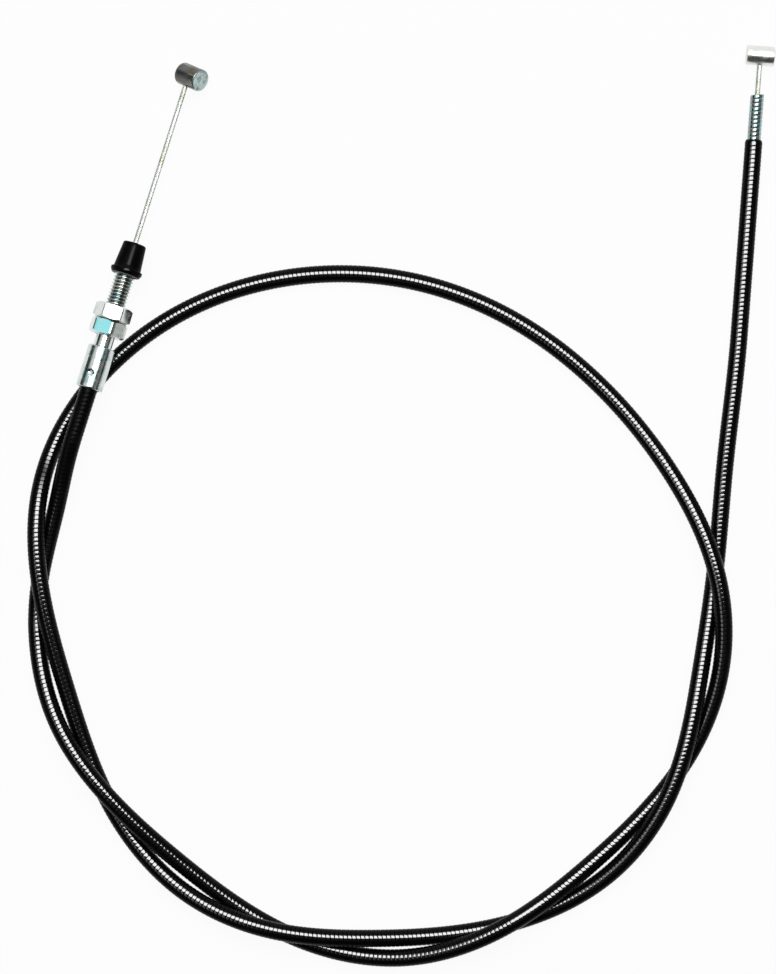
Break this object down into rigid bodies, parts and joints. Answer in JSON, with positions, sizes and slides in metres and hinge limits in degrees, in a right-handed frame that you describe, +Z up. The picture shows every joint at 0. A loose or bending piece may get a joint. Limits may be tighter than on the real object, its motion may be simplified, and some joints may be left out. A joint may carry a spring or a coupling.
{
  "type": "throttle cable",
  "caption": "Control cable lying in twisted loops, with a threaded adjuster, lock nuts and rubber boot at one end, a bare conduit at the other, and barrel nipples on its sliding wire.",
  "frame": {"origin": "centre of the bottom of the bounding box of the cable as it lies", "axes": "+Z up from the surface it lies on, +Y towards the ends with the nipples, +X from the adjuster's side to the bare end's side"},
  "size_m": [0.2203, 0.2715, 0.0144],
  "materials": {
    "black_plastic": "glossy, ribbed by the conduit's turns",
    "spring_steel": "bright drawn wire",
    "wire_steel": "bright stranded wire",
    "zinc_plate": "bright zinc plate with a faint blue and yellow tint",
    "die_cast": "smooth die casting",
    "black_rubber": "smooth, fairly glossy"
  },
  "bodies": {
    "casing": {"casing_jacket": "black_plastic", "casing_conduit": "spring_steel", "inner_wire": "wire_steel", "adjuster": "zinc_plate", "rubber_boot": "black_rubber"},
    "left_wire": {"inner_wire_left_end": "wire_steel", "nipple_left": "die_cast"},
    "right_wire": {"inner_wire_right_end": "wire_steel", "nipple_right": "die_cast"},
    "lower_nut": {"lower_lock_nut": "zinc_plate"},
    "upper_nut": {"upper_lock_nut": "zinc_plate"}
  },
  "joints": [
    {"name": "wire_travel", "type": "slide", "parent": "casing", "child": "left_wire", "axis": [0.2986, 0.9527, -0.0563], "range_m": [-0.0479, 0.0081], "deforming": ["inner_wire"]},
    {"name": "far_wire_travel", "type": "slide", "parent": "casing", "child": "right_wire", "axis": [0.075, 0.9972, 0.0043], "range_m": [-0.0081, 0.0479]},
    {"name": "lower_nut_travel", "type": "slide", "parent": "casing", "child": "lower_nut", "axis": [0.2986, 0.9527, -0.0563], "range_m": [0, 0.0046]},
    {"name": "upper_nut_travel", "type": "slide", "parent": "lower_nut", "child": "upper_nut", "axis": [0.2986, 0.9527, -0.0563], "range_m": [0, 0.0046]}
  ],
  "couplings": [
    {"joint": "far_wire_travel", "follows": "wire_travel", "ratio": -1}
  ]
}
